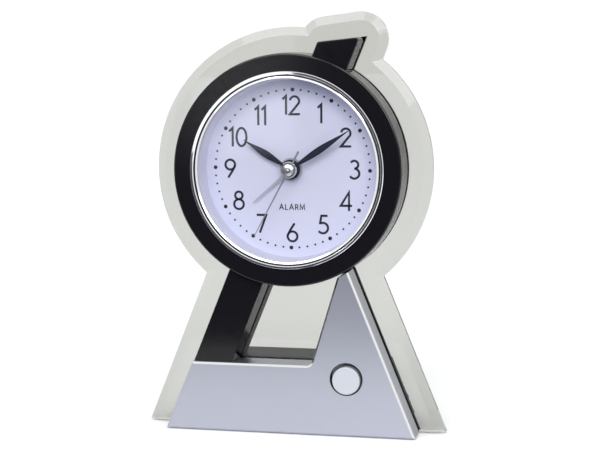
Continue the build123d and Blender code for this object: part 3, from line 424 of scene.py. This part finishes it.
# each numeral as (advance width, strokes), with strokes as points on a body of height 1
GLYPHS = {
    "0": (0.60, [(arc(0.30, 0.5, 0.475, 0, 360 - 360 / 40, 39, squeeze=0.56), True)]),
    "1": (0.24, [([(0.0, 0.80), (0.19, 0.975), (0.19, 0.0)], False)]),
    "2": (0.58, [(arc(0.275, 0.705, 0.245, 170, -28) + [(0.02, 0.025), (0.56, 0.025)], False)]),
    "3": (0.54, [(arc(0.25, 0.745, 0.205, 150, -90), False), (arc(0.25, 0.285, 0.26, 90, -150), False)]),
    "4": (0.64, [([(0.46, 0.0), (0.46, 0.97), (0.02, 0.27), (0.62, 0.27)], False)]),
    "5": (0.56, [([(0.50, 0.95), (0.17, 0.95), (0.10, 0.56)] + arc(0.245, 0.305, 0.275, 112, -145), False)]),
    "6": (0.58, [(arc(0.29, 0.285, 0.26, 0, 360 - 360 / 36, 35), True),
                 ([(0.41, 0.98), (0.20, 0.66), (0.07, 0.42), (0.04, 0.33)], False)]),
    "7": (0.56, [([(0.02, 0.95), (0.54, 0.95), (0.18, 0.0)], False)]),
    "8": (0.56, [(arc(0.28, 0.75, 0.20, 0, 360 - 360 / 32, 31), True),
                 (arc(0.28, 0.285, 0.26, 0, 360 - 360 / 36, 35), True)]),
    "9": (0.58, [(arc(0.29, 0.71, 0.26, 0, 360 - 360 / 36, 35), True),
                 ([(0.17, 0.02), (0.38, 0.34), (0.51, 0.58), (0.54, 0.67)], False)]),
}
LETTERS = {
    "A": (0.86, [([(0.0, 0.0), (0.39, 1.0), (0.78, 0.0)], False), ([(0.14, 0.34), (0.64, 0.34)], False)]),
    "L": (0.58, [([(0.05, 1.0), (0.05, 0.05), (0.50, 0.05)], False)]),
    "R": (0.66, [([(0.05, 0.0), (0.05, 0.95), (0.30, 0.95)] + arc(0.30, 0.72, 0.23, 80, -90, 10)
                  + [(0.05, 0.49)], False), ([(0.30, 0.49), (0.58, 0.0)], False)]),
    "M": (0.96, [([(0.04, 0.0), (0.12, 1.0), (0.46, 0.16), (0.80, 1.0), (0.88, 0.0)], False)]),
}


def write(build, text, table, x, z, height, stroke, gap):
    """Writes text centred at x, z from the hands' axis, in metres."""
    total = sum(table[letter][0] for letter in text) + gap * (len(text) - 1)
    cursor = x - total * height / 2
    for letter in text:
        width, strokes = table[letter]
        for points, closed in strokes:
            placed = [(cursor + px * height, z + (py - 0.5) * height) for px, py in points]
            ribbon(build, placed, stroke, closed)
        cursor += (width + gap) * height


# the 1 and the 11 stand a little off their places on the numerals' circle
NUDGES = {1: (-0.9 * MM, 0.0), 11: (0.0, -0.6 * MM)}
numerals = bmesh.new()
for hour in range(1, 13):
    angle = radians(90 - 30 * hour)
    across, up = NUDGES.get(hour, (0.0, 0.0))
    x = NUMERAL_RADIUS * cos(angle) + across
    z = NUMERAL_RADIUS * sin(angle) + up
    write(numerals, str(hour), GLYPHS, x, z, NUMERAL_HEIGHT, NUMERAL_STROKE, NUMERAL_GAP)
add_piece("dial_numerals", "case", ink, as_mesh("dial_numerals", numerals))

dots = bmesh.new()
for minute in range(60):
    angle = radians(90 - 6 * minute - DOTS_TURN)
    radius = HOUR_DOT if minute % 5 == 0 else MINUTE_DOT
    spot(dots, DOTS_RADIUS * cos(angle), DIAL_Z + DOTS_RADIUS * sin(angle), radius)
add_piece("dial_minute_dots", "case", ink, as_mesh("dial_minute_dots", dots))

word = bmesh.new()
write(word, "ALARM", LETTERS, 0.0, -WORD_DROP, WORD_HEIGHT, WORD_STROKE, WORD_GAP)
add_piece("dial_word", "case", ink, as_mesh("dial_word", word))


# ---------------------------------------------------------------- stage, lights and camera
def stage_material(name, color, rough):
    """A plain surface with a very faint speckle."""
    shader = Shader(name)
    speck = shader.noise(40.0)
    shader.link(shader.tint(speck, scaled(color, 0.995), color), shader.principled.inputs["Base Color"])
    shader.set(Roughness=rough)
    return shader.material


# the floor ends a little way in front of the clock, and runs far back behind it
FLOOR_FRONT = -0.15
FLOOR_BACK = 30
FLOOR_SIDE = 6
floor_corners = [
    (-FLOOR_SIDE, FLOOR_FRONT, 0),
    (FLOOR_SIDE, FLOOR_FRONT, 0),
    (FLOOR_SIDE, FLOOR_BACK, 0),
    (-FLOOR_SIDE, FLOOR_BACK, 0),
]
floor_mesh = bpy.data.meshes.new("floor")
floor_mesh.from_pydata(floor_corners, [], [(0, 1, 2, 3)])
floor_mesh.materials.append(stage_material("pale_floor", srgb(246, 247, 249), 0.9))
floor = bpy.data.objects.new("floor", floor_mesh)
bpy.context.collection.objects.link(floor)


def lamp(name, kind, position, target, power):
    """A soft lamp of a kind, aimed at a target."""
    light = bpy.data.lights.new(name, kind)
    light.energy = power
    holder = bpy.data.objects.new(name, light)
    holder.location = position
    holder.rotation_euler = (Vector(target) - Vector(position)).to_track_quat("-Z", "Y").to_euler()
    bpy.context.collection.objects.link(holder)
    return light


# the sun's power is in watts per square metre, and the other lamps' in watts
sky = lamp("sky_light", "SUN", position=(-0.28, -0.80, 0.53), target=(0, 0, 0), power=1.3)
sky.angle = radians(40)
front = lamp("front_light", "AREA", position=(0.30, -0.85, 0.50), target=(0, 0, 0.083), power=5.0)
front.size = 0.6
# a small panel for the glossy faces to reflect
window = lamp("window_light", "AREA", position=(-0.275, -1.0, 0.095), target=(0, 0, 0.1), power=0.06)
window.shape = "RECTANGLE"
window.size = 0.11
window.size_y = 0.13

# the studio: white behind the clock and pale all round, with a dark screen that its front faces reflect
BACKDROP = (1.05, 1.05, 1.05, 1)
ROOM = (0.96, 0.955, 0.94, 1)
SCREEN_TONE = (0.07, 0.07, 0.10, 1)
SCREEN = (-0.214, -0.970, -0.112)   # the way to its middle
SCREEN_DARK = 16                # degrees from its middle to where it is quite dark
SCREEN_EDGE = 50                # and to where it has faded out
world = bpy.data.worlds.new("studio")
bpy.context.scene.world = world
world.use_nodes = True
room = world.node_tree.nodes
wire = world.node_tree.links
backdrop = room["Background"]

facing = room.new("ShaderNodeVectorMath")
facing.operation = "DOT_PRODUCT"
facing.inputs[1].default_value = SCREEN
wire.new(room.new("ShaderNodeTexCoord").outputs["Generated"], facing.inputs[0])
edge = room.new("ShaderNodeMapRange")
edge.interpolation_type = "SMOOTHSTEP"
edge.inputs["From Min"].default_value = cos(radians(SCREEN_EDGE))
edge.inputs["From Max"].default_value = cos(radians(SCREEN_DARK))
wire.new(facing.outputs["Value"], edge.inputs["Value"])


def room_mix(factor, first, second):
    """A colour between two, where first is a colour and second a colour or an output."""
    mix = room.new("ShaderNodeMix")
    mix.data_type = "RGBA"
    mix.inputs["A"].default_value = first
    if isinstance(second, tuple):
        mix.inputs["B"].default_value = second
    else:
        wire.new(second, mix.inputs["B"])
    wire.new(factor, mix.inputs["Factor"])
    return mix.outputs["Result"]


lit = room.new("ShaderNodeLightPath")


def other_than(ray):
    """1 for every kind of ray but this one."""
    rest = room.new("ShaderNodeMath")
    rest.operation = "SUBTRACT"
    rest.inputs[0].default_value = 1.0
    wire.new(lit.outputs[ray], rest.inputs[1])
    return rest.outputs["Value"]


# what is seen through the clear plate is pale too, from every side
dark = room.new("ShaderNodeMath")
dark.operation = "MULTIPLY"
wire.new(edge.outputs["Result"], dark.inputs[0])
wire.new(other_than("Is Transmission Ray"), dark.inputs[1])
surroundings = room_mix(dark.outputs["Value"], ROOM, SCREEN_TONE)
wire.new(room_mix(other_than("Is Camera Ray"), BACKDROP, surroundings), backdrop.inputs["Color"])
backdrop.inputs["Strength"].default_value = 1.0

# the camera stands to the right of the clock and looks a little down
camera = bpy.data.cameras.new("camera")
camera.sensor_width = 36.0
camera.lens = 83.1
camera.clip_start = 0.05
camera.clip_end = 50.0
eye = bpy.data.objects.new("camera", camera)
CAMERA_PLACE = (0.09575, -0.43215, 0.11407)
CAMERA_TURN = 12.434            # degrees that it looks to the left of +Y
CAMERA_DIP = 6.4                # degrees that it looks down
CAMERA_ROLL = -0.478            # degrees that it leans
turn = Matrix.Rotation(radians(CAMERA_TURN), 4, "Z")
rise = Matrix.Rotation(radians(90 - CAMERA_DIP), 4, "X")
lean = Matrix.Rotation(radians(CAMERA_ROLL), 4, "Z")
eye.matrix_world = Matrix.Translation(CAMERA_PLACE) @ turn @ rise @ lean
bpy.context.collection.objects.link(eye)
bpy.context.scene.camera = eye
bpy.context.scene.view_settings.view_transform = "Standard"
